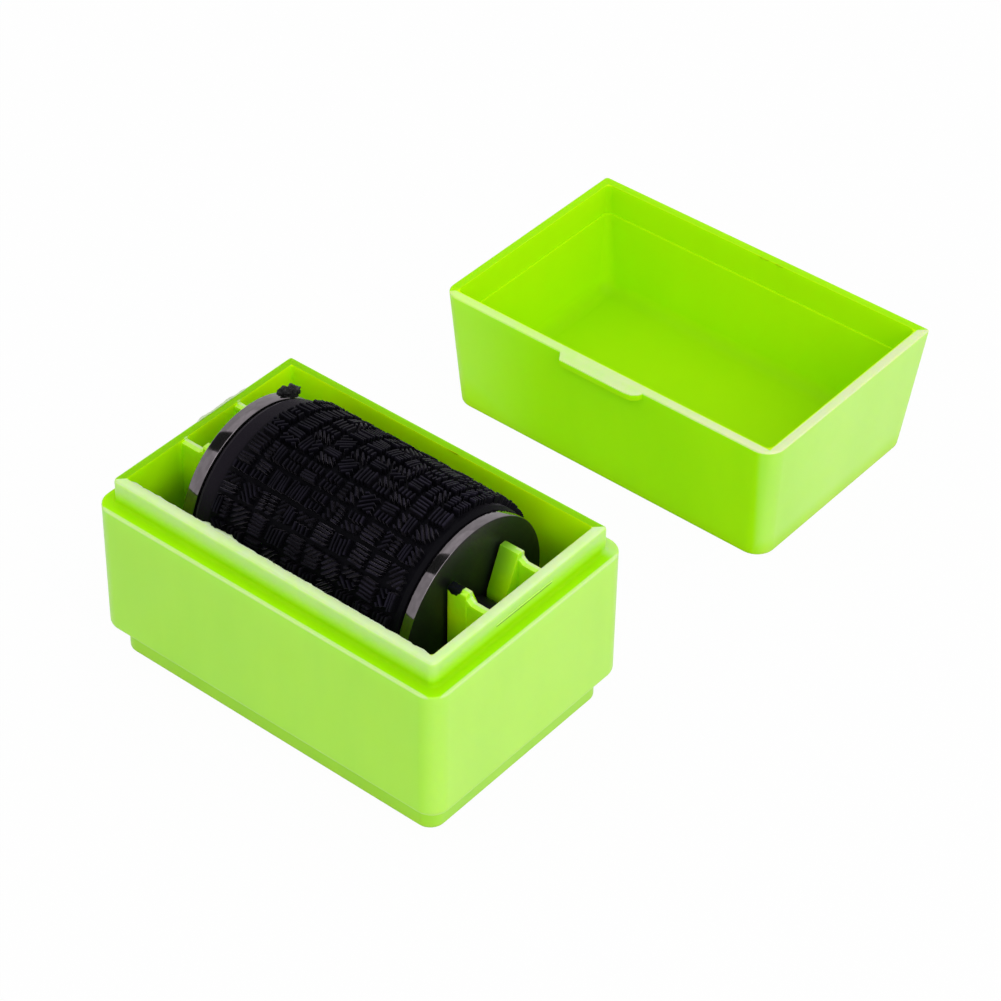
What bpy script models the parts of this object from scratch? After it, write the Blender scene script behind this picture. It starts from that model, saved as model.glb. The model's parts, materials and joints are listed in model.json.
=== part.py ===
"""Privacy roller stamp: an open case with an inked roller cradled across it, and the cap set upside
down behind it. Metres, +Z up. X runs along the case, the near long side faces -Y, and the origin is
the middle of the case's underside."""

import math

import bmesh
import bpy

MM = 0.001

# Case: one moulding with a collar that plugs into the cap, a ledge round it and a smaller foot
CASE_LENGTH = 62.0 * MM
CASE_WIDTH = 40.6 * MM
CASE_CORNER = 3.0 * MM
SHOULDER_Z = 26.8 * MM
SHOULDER_ROUND = 0.4 * MM
COLLAR_RISE = 4.0 * MM
COLLAR_WALL = 1.5 * MM
COLLAR_CORNER = 1.0 * MM
LEDGE = 2.0 * MM
RIM_ROUND = 0.2 * MM
WELL_CORNER = 0.5 * MM
WELL_FLOOR_Z = 1.8 * MM
FOOT_HEIGHT = 4.6 * MM
FOOT_INSET = 2.0 * MM
FOOT_CORNER = 2.4 * MM
FOOT_ROUND = 0.7 * MM
WALL_ROUND = 1.3 * MM

# Snap bead on the outside of the collar's short walls
BEAD_LENGTH = 12.0 * MM
BEAD_BELOW_RIM = 1.5 * MM
BEAD_SIZE = 0.25 * MM

# Roller: the sleeve with its raised print face, over a felt pad, over a tube between two flanges
END_BAY = 6.8 * MM
SIDE_ROOM = 1.2 * MM
AXIS_BELOW_RIM = 7.7 * MM
LEFT_FLANGE_THICK = 2.4 * MM
RIGHT_FLANGE_THICK = 1.7 * MM
FLANGE_EDGE = 0.15 * MM
FLANGE_STEP = 0.3 * MM
RELIEF_RISE = 1.1 * MM
SLEEVE_WALL = 2.65 * MM
PAD_WALL = 2.35 * MM
TUBE_WALL = 2.0 * MM
PLUG_WALL = 1.7 * MM
PLUG_LENGTH = 4.5 * MM
RING_GAP = 0.25 * MM
END_GAP = 0.35 * MM
LEFT_MARGIN = 2.9 * MM
RIGHT_MARGIN = 0.8 * MM
RELIEF_GAP = 0.6 * MM
RELIEF_COLUMNS = 7
RELIEF_ROWS = 18
JOURNAL_RADIUS = 2.4 * MM
JOURNAL_OVERHANG = 0.6 * MM
JOURNAL_CHAMFER = 0.3 * MM

# Cradle at each end of the well: a yoke plate tied back to the end wall by two webs
YOKE_GAP = 0.5 * MM
YOKE_THICK = 2.6 * MM
YOKE_HALF = 6.1 * MM
POST_TOP = 1.3 * MM
POST_ROUND = 0.35 * MM
POST_RISE = 1.2 * MM
RUNNING_CLEARANCE = 0.1 * MM
NECK_BITE = 0.25 * MM
NECK_RISE = 2.5 * MM
WEB_THICK = 1.2 * MM
WEB_INSET = 0.1 * MM
WEB_DROP = 0.3 * MM
OVERRUN = 0.6 * MM

# Cap, closed face down, and the half turn that brings it home
CAP_HEIGHT = 21.0 * MM
CAP_APART = 34.2 * MM
CAP_CORNER = 3.2 * MM
CAP_DRAFT = 1.3 * MM
CAP_ROOF = 1.6 * MM
CAP_EDGE = 1.6 * MM
CAP_CLEARANCE = 0.4 * MM
CAP_SEAT_GAP = 0.3 * MM
REBATE_SPARE = 1.2 * MM
REBATE_STEP = 0.5 * MM
CAP_INNER_DRAFT = 0.7 * MM
CAP_INNER_CORNER = 1.0 * MM
CAP_INNER_EDGE = 0.8 * MM
TAB_LENGTH = 16.0 * MM
TAB_TAPER = 1.1 * MM
TAB_REACH = 1.6 * MM
TAB_THICK = 1.1 * MM
TAB_BELOW_RIM = 0.1 * MM

CORNER_STEPS = 6
TURN_STEPS = 48
SEAT_STEPS = 20
SHARP_DEGREES = 30

# Sizes that follow from the ones above
RIM_Z = SHOULDER_Z + COLLAR_RISE
COLLAR_LENGTH = CASE_LENGTH - 2 * LEDGE
COLLAR_WIDTH = CASE_WIDTH - 2 * LEDGE
WELL_LENGTH = COLLAR_LENGTH - 2 * COLLAR_WALL
WELL_WIDTH = COLLAR_WIDTH - 2 * COLLAR_WALL
AXIS_Z = RIM_Z - AXIS_BELOW_RIM
ROLLER_HALF = WELL_LENGTH / 2 - END_BAY
RELIEF_RADIUS = WELL_WIDTH / 2 - SIDE_ROOM
SLEEVE_RADIUS = RELIEF_RADIUS - RELIEF_RISE
SLEEVE_BORE = SLEEVE_RADIUS - SLEEVE_WALL
PAD_RADIUS = SLEEVE_BORE - RING_GAP
PAD_BORE = PAD_RADIUS - PAD_WALL
TUBE_RADIUS = PAD_BORE - RING_GAP
TUBE_BORE = TUBE_RADIUS - TUBE_WALL
PLUG_RADIUS = TUBE_BORE - RING_GAP
PLUG_BORE = PLUG_RADIUS - PLUG_WALL
FLANGE_RADIUS = SLEEVE_RADIUS - FLANGE_STEP
LEFT_FACE = LEFT_FLANGE_THICK - ROLLER_HALF
RIGHT_FACE = ROLLER_HALF - RIGHT_FLANGE_THICK
YOKE_X = ROLLER_HALF + YOKE_GAP
YOKE_BACK_X = YOKE_X + YOKE_THICK
JOURNAL_END = YOKE_BACK_X + JOURNAL_OVERHANG
SEAT_RADIUS = JOURNAL_RADIUS + RUNNING_CLEARANCE
NECK_HALF = JOURNAL_RADIUS - NECK_BITE
MOUTH_HALF = YOKE_HALF - POST_TOP
CAP_CENTRE_Y = CASE_WIDTH + CAP_APART
CAP_RIM_WALL = LEDGE - CAP_CLEARANCE
CAP_REBATE = COLLAR_RISE + REBATE_SPARE
CAP_TURN_Y = CAP_CENTRE_Y / 2
CAP_TURN_Z = (CAP_HEIGHT + SHOULDER_Z + CAP_SEAT_GAP) / 2


def clear_scene():
    for obj in list(bpy.data.objects):
        bpy.data.objects.remove(obj, do_unlink=True)


def plastic(name, colour, roughness):
    material = bpy.data.materials.new(name)
    material.use_nodes = True
    shader = material.node_tree.nodes["Principled BSDF"]
    shader.inputs["Base Color"].default_value = (*colour, 1.0)
    shader.inputs["Roughness"].default_value = roughness
    material.diffuse_color = (*colour, 1.0)
    return material


def add_mesh(name, bm, material):
    bmesh.ops.recalc_face_normals(bm, faces=bm.faces[:])
    mesh = bpy.data.meshes.new(name)
    bm.to_mesh(mesh)
    bm.free()
    mesh.shade_smooth()
    mesh.set_sharp_from_angle(angle=math.radians(SHARP_DEGREES))
    mesh.materials.append(material)
    obj = bpy.data.objects.new(name, mesh)
    bpy.context.scene.collection.objects.link(obj)
    return obj


def join(target, other):
    """Unites other with target, and keeps other as a helper that isn't rendered."""
    other.parent = target
    other.hide_render = True
    other.display_type = "WIRE"
    modifier = target.modifiers.new(other.name, "BOOLEAN")
    modifier.operation = "UNION"
    modifier.solver = "EXACT"
    modifier.object = other


def bridge(bm, one, two):
    """Faces between two rings of vertices, where a ring may be one vertex repeated."""
    for i in range(len(one)):
        j = (i + 1) % len(one)
        corners = []
        for vert in (one[i], one[j], two[j], two[i]):
            if vert not in corners:
                corners.append(vert)
        bm.faces.new(corners)


def rounded_ring(half_length, half_width, radius, z):
    """Points round a rectangle with round corners, the same number for every ring."""
    points = []
    for quarter, (sx, sy) in enumerate(((1, 1), (-1, 1), (-1, -1), (1, -1))):
        for step in range(CORNER_STEPS + 1):
            angle = math.radians(90 * (quarter + step / CORNER_STEPS))
            x = sx * (half_length - radius) + radius * math.cos(angle)
            y = sy * (half_width - radius) + radius * math.sin(angle)
            points.append((x, y, z))
    return points


def case_ring(inset, radius, z):
    """A ring that lies inset from the case's outline, which the cap shares."""
    return rounded_ring(CASE_LENGTH / 2 - inset, CASE_WIDTH / 2 - inset, radius, z)


def lofted(name, rings, material):
    """A closed body through the rings, with a flat end on the first and the last."""
    bm = bmesh.new()
    rows = [[bm.verts.new(point) for point in ring] for ring in rings]
    for lower, upper in zip(rows, rows[1:]):
        bridge(bm, lower, upper)
    bm.faces.new(rows[0])
    bm.faces.new(rows[-1])
    return add_mesh(name, bm, material)


def extruded(name, first_outline, last_outline, material):
    """A closed body between two outlines that have the same number of points."""
    bm = bmesh.new()
    first = [bm.verts.new(point) for point in first_outline]
    last = [bm.verts.new(point) for point in last_outline]
    bridge(bm, first, last)
    bm.faces.new(first)
    bm.faces.new(last)
    return add_mesh(name, bm, material)


def turned(name, profile, closed, material):
    """The profile of (x, radius) points turned about X, with its origin on the roller's axis."""
    bm = bmesh.new()
    rows = []
    for x, radius in profile:
        if radius == 0.0:
            rows.append([bm.verts.new((x, 0.0, 0.0))] * TURN_STEPS)
            continue
        row = []
        for step in range(TURN_STEPS):
            angle = 2 * math.pi * step / TURN_STEPS
            row.append(bm.verts.new((x, radius * math.cos(angle), radius * math.sin(angle))))
        rows.append(row)
    for one, two in zip(rows, rows[1:]):
        bridge(bm, one, two)
    if closed:
        bridge(bm, rows[-1], rows[0])
    return on_axis(add_mesh(name, bm, material))


def on_axis(obj):
    obj.location = (0.0, 0.0, AXIS_Z)
    return obj


def rounded_edge(size, steps):
    """(inset, rise) pairs of a rounded edge, from the flat face to the wall."""
    pairs = []
    for step in range(steps + 1):
        angle = math.pi / 2 * step / steps
        pairs.append((size * (1 - math.sin(angle)), size * (1 - math.cos(angle))))
    return pairs


def case_rings():
    """The case's surface from the underside, up the outside and down the well to its floor."""
    rings = []
    for inset, rise in rounded_edge(FOOT_ROUND, 2):
        rings.append(case_ring(FOOT_INSET + inset, FOOT_CORNER - inset, rise))
    rings.append(case_ring(FOOT_INSET, FOOT_CORNER, FOOT_HEIGHT))
    for inset, rise in rounded_edge(WALL_ROUND, 3):
        rings.append(case_ring(inset, CASE_CORNER - inset / 2, FOOT_HEIGHT + rise))
    for inset, drop in reversed(rounded_edge(SHOULDER_ROUND, 2)):
        rings.append(case_ring(inset, CASE_CORNER - inset, SHOULDER_Z - drop))
    rings.append(case_ring(LEDGE, COLLAR_CORNER, SHOULDER_Z))
    rings.append(case_ring(LEDGE, COLLAR_CORNER, RIM_Z - RIM_ROUND))
    rings.append(case_ring(LEDGE + RIM_ROUND, COLLAR_CORNER - RIM_ROUND, RIM_Z))
    rings.append(case_ring(LEDGE + COLLAR_WALL, WELL_CORNER, RIM_Z))
    rings.append(case_ring(LEDGE + COLLAR_WALL, WELL_CORNER, WELL_FLOOR_Z))
    return rings


def yoke_outline():
    """(y, z) points of a yoke: two posts, a sloped mouth, a neck and a round seat."""
    top = RIM_Z + POST_RISE
    post = [
        (NECK_HALF, AXIS_Z + NECK_RISE),
        (MOUTH_HALF, top - POST_ROUND),
        (MOUTH_HALF + POST_ROUND, top),
        (YOKE_HALF - POST_ROUND, top),
        (YOKE_HALF, top - POST_ROUND),
        (YOKE_HALF, WELL_FLOOR_Z - OVERRUN),
    ]
    opening = math.acos(NECK_HALF / SEAT_RADIUS)
    seat = []
    for step in range(SEAT_STEPS + 1):
        angle = math.pi - opening + (math.pi + 2 * opening) * step / SEAT_STEPS
        seat.append((SEAT_RADIUS * math.cos(angle), AXIS_Z + SEAT_RADIUS * math.sin(angle)))
    left_post = [(-y, z) for y, z in reversed(post)]
    return left_post + seat + post


def add_cradle(case, label, side, material):
    """A yoke and its two webs. side is -1 at the left end and 1 at the right."""
    outline = yoke_outline()
    front = [(side * YOKE_X, y, z) for y, z in outline]
    back = [(side * YOKE_BACK_X, y, z) for y, z in outline]
    join(case, extruded(f"{label}_yoke", front, back, material))
    start = YOKE_BACK_X - OVERRUN
    end = WELL_LENGTH / 2 + OVERRUN
    outside = YOKE_HALF - WEB_INSET
    corners = (
        (outside - WEB_THICK, WELL_FLOOR_Z - OVERRUN),
        (outside, WELL_FLOOR_Z - OVERRUN),
        (outside, RIM_Z - WEB_DROP),
        (outside - WEB_THICK, RIM_Z - WEB_DROP),
    )
    for flip, place in ((-1, "near"), (1, "far")):
        front = [(side * start, flip * y, z) for y, z in corners]
        back = [(side * end, flip * y, z) for y, z in corners]
        join(case, extruded(f"{label}_{place}_web", front, back, material))


def add_bead(case, label, side, material):
    """The ridge that clicks the cap on, along one of the collar's short walls."""
    bead_z = RIM_Z - BEAD_BELOW_RIM
    face = COLLAR_LENGTH / 2
    section = (
        (face - OVERRUN, bead_z - BEAD_SIZE),
        (face, bead_z - BEAD_SIZE),
        (face + BEAD_SIZE, bead_z),
        (face, bead_z + BEAD_SIZE),
        (face - OVERRUN, bead_z + BEAD_SIZE),
    )
    near = [(side * x, -BEAD_LENGTH / 2, z) for x, z in section]
    far = [(side * x, BEAD_LENGTH / 2, z) for x, z in section]
    join(case, extruded(f"{label}_bead", near, far, material))


def build_case(material):
    case = lofted("case_body", case_rings(), material)
    for label, side in (("left", -1), ("right", 1)):
        add_cradle(case, label, side, material)
        add_bead(case, label, side, material)
    return case


def cap_rings():
    """The cap's surface from its closed face, up the outside and down the inside to the roof."""
    rings = []
    for inset, rise in rounded_edge(CAP_EDGE, 3):
        draft = CAP_DRAFT * (1 - rise / CAP_HEIGHT)
        rings.append(case_ring(draft + inset, CAP_CORNER - inset / 2, rise))
    step_inset = CAP_RIM_WALL + REBATE_STEP
    roof_inset = step_inset + CAP_INNER_DRAFT
    step_z = CAP_HEIGHT - CAP_REBATE
    rings.append(case_ring(0.0, CAP_CORNER, CAP_HEIGHT - RIM_ROUND))
    rings.append(case_ring(RIM_ROUND, CAP_CORNER - RIM_ROUND, CAP_HEIGHT))
    rings.append(case_ring(CAP_RIM_WALL, CAP_INNER_CORNER, CAP_HEIGHT))
    rings.append(case_ring(CAP_RIM_WALL, CAP_INNER_CORNER, step_z))
    rings.append(case_ring(step_inset, CAP_INNER_CORNER, step_z))
    rings.append(case_ring(roof_inset, CAP_INNER_CORNER, CAP_ROOF + CAP_INNER_EDGE))
    rings.append(case_ring(roof_inset + CAP_INNER_EDGE, CAP_INNER_CORNER, CAP_ROOF))
    return rings


def build_cap(material):
    """The cap hangs from an empty on the line that it turns about to close the case."""
    turn = bpy.data.objects.new("cap_turn_axis", None)
    turn.location = (0.0, CAP_TURN_Y, CAP_TURN_Z)
    bpy.context.scene.collection.objects.link(turn)
    cap = lofted("cap", cap_rings(), material)
    cap.parent = turn
    cap.location = (0.0, CAP_CENTRE_Y - CAP_TURN_Y, -CAP_TURN_Z)

    face = CASE_WIDTH / 2
    root = TAB_LENGTH / 2
    outline = (
        (-root, OVERRUN - face),
        (-root, -face),
        (TAB_TAPER - root, -face - TAB_REACH),
        (root - TAB_TAPER, -face - TAB_REACH),
        (root, -face),
        (root, OVERRUN - face),
    )
    top = CAP_HEIGHT - TAB_BELOW_RIM
    lower = [(x, y, top - TAB_THICK) for x, y in outline]
    upper = [(x, y, top) for x, y in outline]
    join(cap, extruded("cap_tab", lower, upper, material))
    return cap


def build_flange(name, face, side, material):
    """One moulding: the disc, the journal outside it and the hollow plug inside it."""
    outside = side * ROLLER_HALF
    journal_end = side * JOURNAL_END
    plug_end = face - side * PLUG_LENGTH
    profile = (
        (journal_end, 0.0),
        (journal_end, JOURNAL_RADIUS - JOURNAL_CHAMFER),
        (journal_end - side * JOURNAL_CHAMFER, JOURNAL_RADIUS),
        (outside, JOURNAL_RADIUS),
        (outside, FLANGE_RADIUS - FLANGE_EDGE),
        (outside - side * FLANGE_EDGE, FLANGE_RADIUS),
        (face + side * FLANGE_EDGE, FLANGE_RADIUS),
        (face, FLANGE_RADIUS - FLANGE_EDGE),
        (face, PLUG_RADIUS),
        (plug_end, PLUG_RADIUS),
        (plug_end, PLUG_BORE),
        (face, PLUG_BORE),
        (face, 0.0),
    )
    return turned(name, profile, False, material)


def build_ring(name, bore, radius, material):
    """A plain tube between the flanges."""
    left = LEFT_FACE + END_GAP
    right = RIGHT_FACE - END_GAP
    profile = ((left, bore), (right, bore), (right, radius), (left, radius))
    return turned(name, profile, True, material)


def relief_lines():
    """x of every edge across the sleeve: its ends, and both edges of each column of blocks."""
    left = LEFT_FACE + END_GAP
    right = RIGHT_FACE - END_GAP
    pitch = (right - RIGHT_MARGIN - left - LEFT_MARGIN) / RELIEF_COLUMNS
    lines = [left]
    for column in range(RELIEF_COLUMNS):
        start = left + LEFT_MARGIN + column * pitch
        lines.append(start)
        lines.append(start + pitch - RELIEF_GAP)
    lines.append(right)
    return lines


def relief_angles():
    """Angles round the sleeve: each row of blocks has two facets and then a gap."""
    row = 2 * math.pi / RELIEF_ROWS
    facet = (row - RELIEF_GAP / SLEEVE_RADIUS) / 2
    angles = []
    for number in range(RELIEF_ROWS):
        for facets in range(3):
            angles.append(number * row + facets * facet)
    return angles


def build_sleeve(name, material):
    """The porous sleeve, its print face as raised blocks on one grid of (x, angle) cells."""
    lines = relief_lines()
    angles = relief_angles()
    columns = len(lines) - 1
    rows = len(angles)
    bm = bmesh.new()
    made = {}

    def corner(i, j, radius):
        key = (i, j % rows, radius)
        if key not in made:
            angle = angles[j % rows]
            made[key] = bm.verts.new((lines[i], radius * math.cos(angle), radius * math.sin(angle)))
        return made[key]

    def level(i, j):
        in_block = i % 2 == 1 and i < columns and j % rows % 3 != 2
        return RELIEF_RADIUS if in_block else SLEEVE_RADIUS

    def face(*corners):
        bm.faces.new([corner(*which) for which in corners])

    for j in range(rows):
        for i in range(columns):
            here = level(i, j)
            beside = level(i + 1, j)
            above = level(i, j + 1)
            face((i, j, here), (i + 1, j, here), (i + 1, j + 1, here), (i, j + 1, here))
            if i + 1 < columns and beside != here:
                face((i + 1, j, here), (i + 1, j, beside), (i + 1, j + 1, beside), (i + 1, j + 1, here))
            if above != here:
                face((i, j + 1, here), (i + 1, j + 1, here), (i + 1, j + 1, above), (i, j + 1, above))
        bore = [(0, j, SLEEVE_BORE), (columns, j, SLEEVE_BORE)]
        bore += [(columns, j + 1, SLEEVE_BORE), (0, j + 1, SLEEVE_BORE)]
        face(*bore)
        for end in (0, columns):
            outside = [(end, j, SLEEVE_RADIUS), (end, j + 1, SLEEVE_RADIUS)]
            face(*outside, (end, j + 1, SLEEVE_BORE), (end, j, SLEEVE_BORE))
    return on_axis(add_mesh(name, bm, material))


clear_scene()
lime = plastic("lime_plastic", (0.38, 0.83, 0.05), 0.35)
black = plastic("black_plastic", (0.01, 0.01, 0.012), 0.15)
rubber = plastic("black_rubber", (0.015, 0.013, 0.018), 0.85)
felt = plastic("inked_felt", (0.02, 0.02, 0.03), 1.0)

build_case(lime)
build_cap(lime)
build_flange("flange_left", LEFT_FACE, -1, black)
build_flange("flange_right", RIGHT_FACE, 1, black)
build_ring("core_tube", TUBE_BORE, TUBE_RADIUS, black)
build_ring("ink_pad", PAD_BORE, PAD_RADIUS, felt)
build_sleeve("stamp_sleeve", rubber)
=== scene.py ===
# %% [markdown]
# A privacy roller stamp: an open case of lime green plastic with a black inked roller across it,
# and the cap lying upside down behind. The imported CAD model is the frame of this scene. It says
# where every piece is and what moves with what, and the cells below dress it, piece by piece.

import json
import math
import random

import bmesh
import bpy
from mathutils import Matrix, Vector, noise


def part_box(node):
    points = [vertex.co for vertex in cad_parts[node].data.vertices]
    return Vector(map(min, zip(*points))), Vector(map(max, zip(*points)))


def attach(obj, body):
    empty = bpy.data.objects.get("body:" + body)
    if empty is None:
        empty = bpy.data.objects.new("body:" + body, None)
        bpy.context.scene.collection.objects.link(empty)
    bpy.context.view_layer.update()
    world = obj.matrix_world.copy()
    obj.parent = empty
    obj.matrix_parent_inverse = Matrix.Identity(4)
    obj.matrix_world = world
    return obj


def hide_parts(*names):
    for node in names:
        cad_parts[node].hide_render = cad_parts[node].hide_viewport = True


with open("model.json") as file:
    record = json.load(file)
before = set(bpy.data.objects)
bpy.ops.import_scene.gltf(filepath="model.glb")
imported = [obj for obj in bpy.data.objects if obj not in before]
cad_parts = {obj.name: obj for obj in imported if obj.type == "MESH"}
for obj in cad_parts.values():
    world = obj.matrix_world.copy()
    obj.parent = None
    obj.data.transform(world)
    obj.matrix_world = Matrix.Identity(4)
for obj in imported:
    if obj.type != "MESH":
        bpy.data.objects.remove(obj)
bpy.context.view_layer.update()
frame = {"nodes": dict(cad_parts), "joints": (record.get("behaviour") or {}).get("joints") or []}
MM = 0.001
scene = bpy.context.scene

# %% [markdown]
# The case's box gives its length, its width and the top of the posts that hold the roller, the
# joint gives the roller's axis, and the cap's box gives the line that the cap is centred on. What
# a box can't tell, such as a wall or a ledge, gets a name here.

# %% Read the main places from the frame
case_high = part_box("case_body")[1]
cap_low, cap_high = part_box("cap")
left_low, left_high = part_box("flange_left")
right_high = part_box("flange_right")[1]
felt_low, felt_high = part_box("ink_pad")
sleeve_low, sleeve_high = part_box("stamp_sleeve")
spin_joint = next(joint for joint in frame["joints"] if joint["name"] == "roller_spin")
AXIS_Z = spin_joint["pos_m"][2]

HALF_X = case_high.x
HALF_Y = case_high.y
CAP_Y = cap_high.y - HALF_Y
CAP_TOP = cap_high.z

LEDGE = 2.0 * MM
COLLAR_RISE = 4.0 * MM
COLLAR_WALL = 1.5 * MM
POST_RISE = 1.2 * MM
RIM_Z = case_high.z - POST_RISE
SHOULDER_Z = RIM_Z - COLLAR_RISE
WELL_FLOOR_Z = 1.8 * MM
FOOT_HEIGHT = 4.6 * MM
OVERRUN = 0.6 * MM
well_inset = LEDGE + COLLAR_WALL
end_wall_x = HALF_X - well_inset
YOKE_GAP = 0.4 * MM
YOKE_THICK = 3.2 * MM
LEFT_YOKE_THICK = 2.2 * MM
YOKE_HALF = 6.1 * MM
WEB_THICK = 1.2 * MM
WEB_INSET = 0.1 * MM
WEB_DROP = 0.3 * MM
ROLLER_HALF = end_wall_x - 6.8 * MM
yoke_x = ROLLER_HALF + YOKE_GAP
yoke_back_x = yoke_x + YOKE_THICK
left_back_x = yoke_x + LEFT_YOKE_THICK
web_top_z = RIM_Z - WEB_DROP
web_outside = YOKE_HALF - WEB_INSET
print("rim at", round(RIM_Z / MM, 2), "mm, roller axis at", round(AXIS_Z / MM, 2), "mm")

# %% [markdown]
# The camera comes first, because everything is judged through it. A product photograph like this
# is taken from a step away with a long lens, so that parallel edges stay nearly parallel. Yaw,
# pitch and roll give the camera's three axes, and those are the columns of its matrix.

# %% Place the camera
PHOTO_SIDE_PX = 1001
FOCAL_PX = 3338.9
SENSOR_MM = 36.0
CAMERA_YAW = math.radians(38.712)
CAMERA_PITCH = math.radians(40.139)
CAMERA_ROLL = math.radians(1.213)
CAMERA_PLACE = Vector((232.51, -259.06, 324.80)) * MM


def camera_axes(yaw, pitch, roll):
    """The camera's right, up and backward directions."""
    flat = math.cos(pitch)
    back = Vector((math.sin(yaw) * flat, -math.cos(yaw) * flat, math.sin(pitch)))
    level = Vector((math.cos(yaw), math.sin(yaw), 0.0))
    upright = back.cross(level)
    right = math.cos(roll) * level + math.sin(roll) * upright
    up = math.cos(roll) * upright - math.sin(roll) * level
    return right, up, back


def to_scene(name, data):
    """A new object in the scene that shows the data."""
    thing = bpy.data.objects.new(name, data)
    scene.collection.objects.link(thing)
    return thing


axes = Matrix(camera_axes(CAMERA_YAW, CAMERA_PITCH, CAMERA_ROLL))
lens = bpy.data.cameras.new("photo_camera")
lens.sensor_width = SENSOR_MM
lens.lens = SENSOR_MM * FOCAL_PX / PHOTO_SIDE_PX
camera = to_scene("photo_camera", lens)
camera.matrix_world = Matrix.Translation(CAMERA_PLACE) @ axes.transposed().to_4x4()
scene.camera = camera
print("lens", round(lens.lens, 1), "mm")

# %% [markdown]
# Small helpers keep the modelling cells short. One turns a finished bmesh into a piece that rides
# on its body, one adds a helper shape that only cuts or joins, and one gives a moulding its small
# round edges, because the bright line on such an edge makes plastic look like plastic.

# %% Helpers for pieces
SHARP = math.radians(35)
SMALL_ROUND = 0.12 * MM


def to_object(name, bm):
    """An object at the origin that holds the bmesh, smooth shaded."""
    mesh = bpy.data.meshes.new(name)
    bm.to_mesh(mesh)
    bm.free()
    mesh.shade_smooth()
    return to_scene(name, mesh)


def to_piece(name, bm, material, body, sharp=None):
    """A finished piece: its material and the body that it rides on.

    Where sharp is given, edges of that angle and more aren't smoothed over."""
    piece = to_object(name, bm)
    piece.data.materials.append(material)
    if sharp:
        piece.data.set_sharp_from_angle(angle=sharp)
    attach(piece, body)
    print(name, len(piece.data.polygons), "faces")
    return piece


def combine(target, helper, operation):
    """Joins the helper to the target or cuts it away. The hidden helper moves with the target."""
    helper.hide_render = True
    helper.display_type = "WIRE"
    helper.parent = target
    boolean = target.modifiers.new(helper.name, "BOOLEAN")
    boolean.operation = operation
    boolean.solver = "EXACT"
    boolean.object = helper


def soften(piece):
    """Rounds every edge that is still sharp, and keeps the flat faces flat."""
    bevel = piece.modifiers.new("small_rounds", "BEVEL")
    bevel.width = SMALL_ROUND
    bevel.segments = 2
    bevel.limit_method = "ANGLE"
    bevel.angle_limit = SHARP
    bevel.use_clamp_overlap = True
    normals = piece.modifiers.new("flat_faces", "WEIGHTED_NORMAL")
    normals.keep_sharp = False
    normals.weight = 100


def block(bm, low, high):
    """A box between two corners."""
    low, high = Vector(low), Vector(high)
    size = high - low
    place = Matrix.Translation((low + high) / 2) @ Matrix.Diagonal((*size, 1.0))
    return bmesh.ops.create_cube(bm, size=1.0, matrix=place)["verts"]


def round_off(bm, geom, radius, segments, affect="EDGES"):
    return bmesh.ops.bevel(
        bm, geom=geom, offset=radius, offset_type="OFFSET", segments=segments,
        profile=0.5, affect=affect, clamp_overlap=False, material=-1,
    )


def grow(bm, faces, way):
    """Extrudes the faces that way."""
    grown = bmesh.ops.extrude_face_region(bm, geom=faces)["geom"]
    verts = [item for item in grown if isinstance(item, bmesh.types.BMVert)]
    bmesh.ops.translate(bm, vec=way, verts=verts)


# %% [markdown]
# Case and cap are both trays: a stack of rounded rectangles, each a little wider, narrower or
# higher than the one before. One such outline is a single square face with its four corners
# bevelled, so a corner's radius never stretches with the sides. Bridging outline to outline gives
# the walls, and only the first and the last outline keep their face. Two outlines in one plane
# could be bridged crosswise, so all of them are first stacked like a tower, bridged, and then
# brought to their own heights.

# %% Helpers for trays
CORNER_SEGMENTS = 8
TOWER_STEP = 10.0 * MM


def outline(bm, inset, corners, z, centre_y):
    """One rounded rectangle, inset from the case's outline. Returns its face, edges and points.

    corners are the radii in millimetres, near left, near right, far right and far left."""
    square = bmesh.ops.create_grid(bm, x_segments=1, y_segments=1, size=1.0)["verts"]
    bmesh.ops.scale(bm, vec=(HALF_X - inset, HALF_Y - inset, 1.0), verts=square)
    bmesh.ops.translate(bm, vec=(0.0, centre_y, z), verts=square)
    places = ((False, False), (True, False), (True, True), (False, True))
    for place, radius in zip(places, corners):
        corner = next(v for v in square if v.is_valid and (v.co.x > 0, v.co.y > centre_y) == place)
        square.remove(corner)
        rounded = round_off(bm, [corner], radius * MM, CORNER_SEGMENTS, "VERTICES")
    face = rounded["verts"][0].link_faces[0]
    return face, list(face.edges), list(face.verts)


def tray(sections, centre_y=0.0):
    """Bridges the outlines in turn.

    Each section is (inset, corners, z), with a rounding and its segments where its edge has one."""
    bm = bmesh.new()
    made = []
    for level, (inset, corners, *_) in enumerate(sections):
        made.append(outline(bm, inset, corners, level * TOWER_STEP, centre_y))
    spare = [face for face, _, _ in made[1:-1]]
    bmesh.ops.delete(bm, geom=spare, context="FACES_ONLY")
    for (_, one, _), (_, two, _) in zip(made, made[1:]):
        bmesh.ops.bridge_loops(bm, edges=one + two)
    for (_, _, verts), section in zip(made, sections):
        for vert in verts:
            vert.co.z = section[2]
    for (_, edges, _), (_, _, _, *rounding) in zip(made, sections):
        if rounding:
            round_off(bm, edges, *rounding)
    bmesh.ops.recalc_face_normals(bm, faces=bm.faces[:])
    return bm


# %% [markdown]
# The plastic is polypropylene, coloured through. Its own colour is a saturated green with almost
# no blue in it. On the real case all the paleness on the outside is gloss: the white surroundings
# mirrored in the surface, stronger the flatter one looks at it. So the shader gets a saturated base
# colour and a strong, slightly blurred reflection. Noise adds what a flat colour lacks: faint flow
# streaks in the green, patches in the blur of the gloss, and tiny waves in the surface. The rest
# goes by place, and apart from an ink blot it is painted light and shade in the base colour. The
# insides are dull and get painted light. The ledge, the deep bays, the far post and the far rims
# get painted shade. The front rims, the shoulder, the webs and the right faces get painted
# highlights and reflections, uneven in patches on the rims. The bead gets a painted shadow under
# it, and the cap's near wall a painted reflection of the case's green.

# %% Lime plastic


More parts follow.
